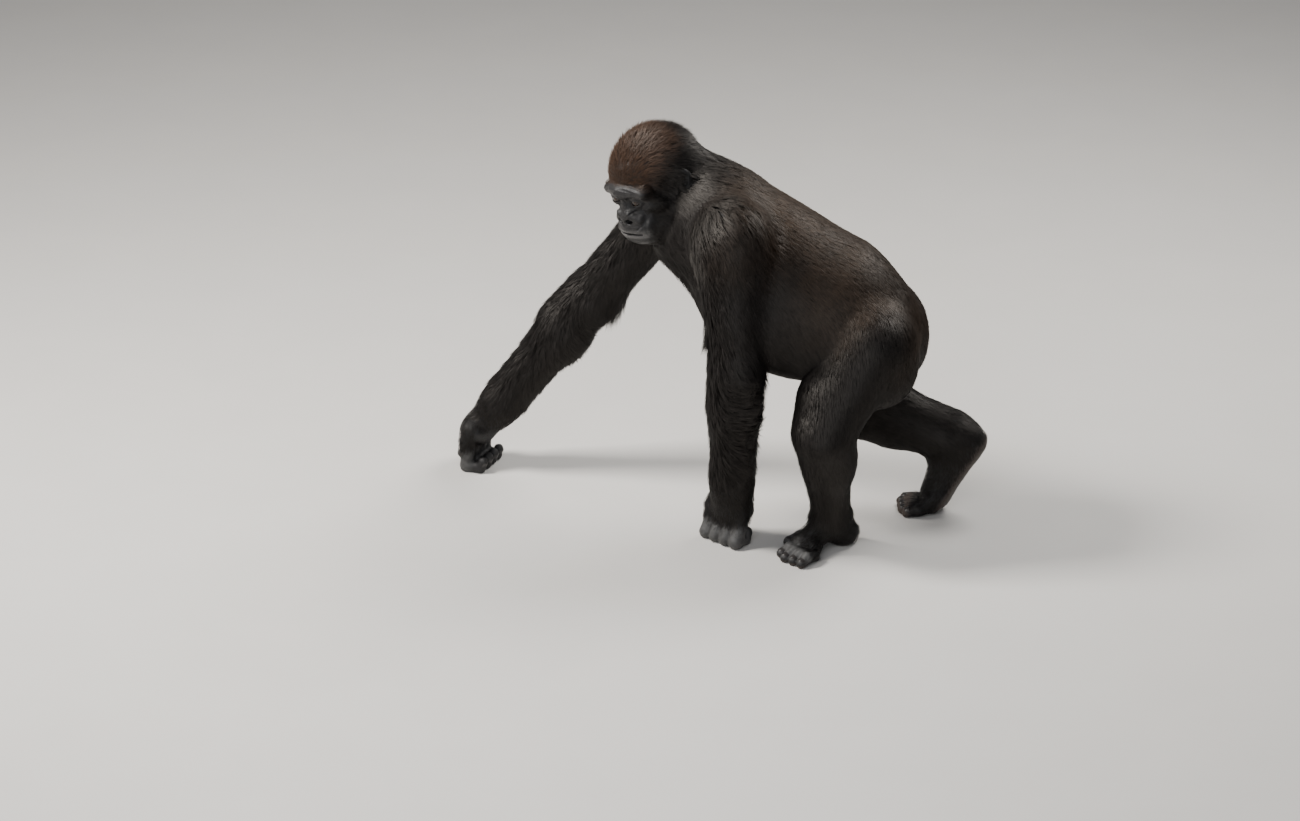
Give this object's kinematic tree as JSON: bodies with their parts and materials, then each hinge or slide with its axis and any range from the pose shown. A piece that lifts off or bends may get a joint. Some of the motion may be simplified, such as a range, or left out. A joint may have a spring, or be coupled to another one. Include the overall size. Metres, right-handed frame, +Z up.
{
  "type": "gorilla",
  "caption": "Life-size still model of a young gorilla walking on its knuckles, one arm reaching forward and the opposite hind foot pushing off.",
  "frame": {"origin": "on the floor, under the middle of the animal's box", "axes": "+Z up, -Y the way the animal walks, +X the animal's left"},
  "size_m": [0.402, 0.9862, 0.7432],
  "materials": {
    "coat": "near-black hair with a soft sheen, browner on the back and reddish on the crown",
    "skin": "dark grey creased bare skin, matt with a slight gloss on the ridges",
    "eye": "wet, glossy dark brown"
  },
  "bodies": {
    "root": {"neck": "coat", "chest": "coat", "belly": "coat", "pelvis": "coat", "head": "coat", "upper_arm_left": "coat", "forearm_left": "coat", "hand_left": "skin", "thigh_left": "coat", "shin_left": "coat", "foot_left": "skin", "ear_left": "skin", "eye_left": "eye", "upper_arm_right": "coat", "forearm_right": "coat", "hand_right": "skin", "thigh_right": "coat", "shin_right": "coat", "foot_right": "skin", "ear_right": "skin", "eye_right": "eye"}
  },
  "joints": []
}
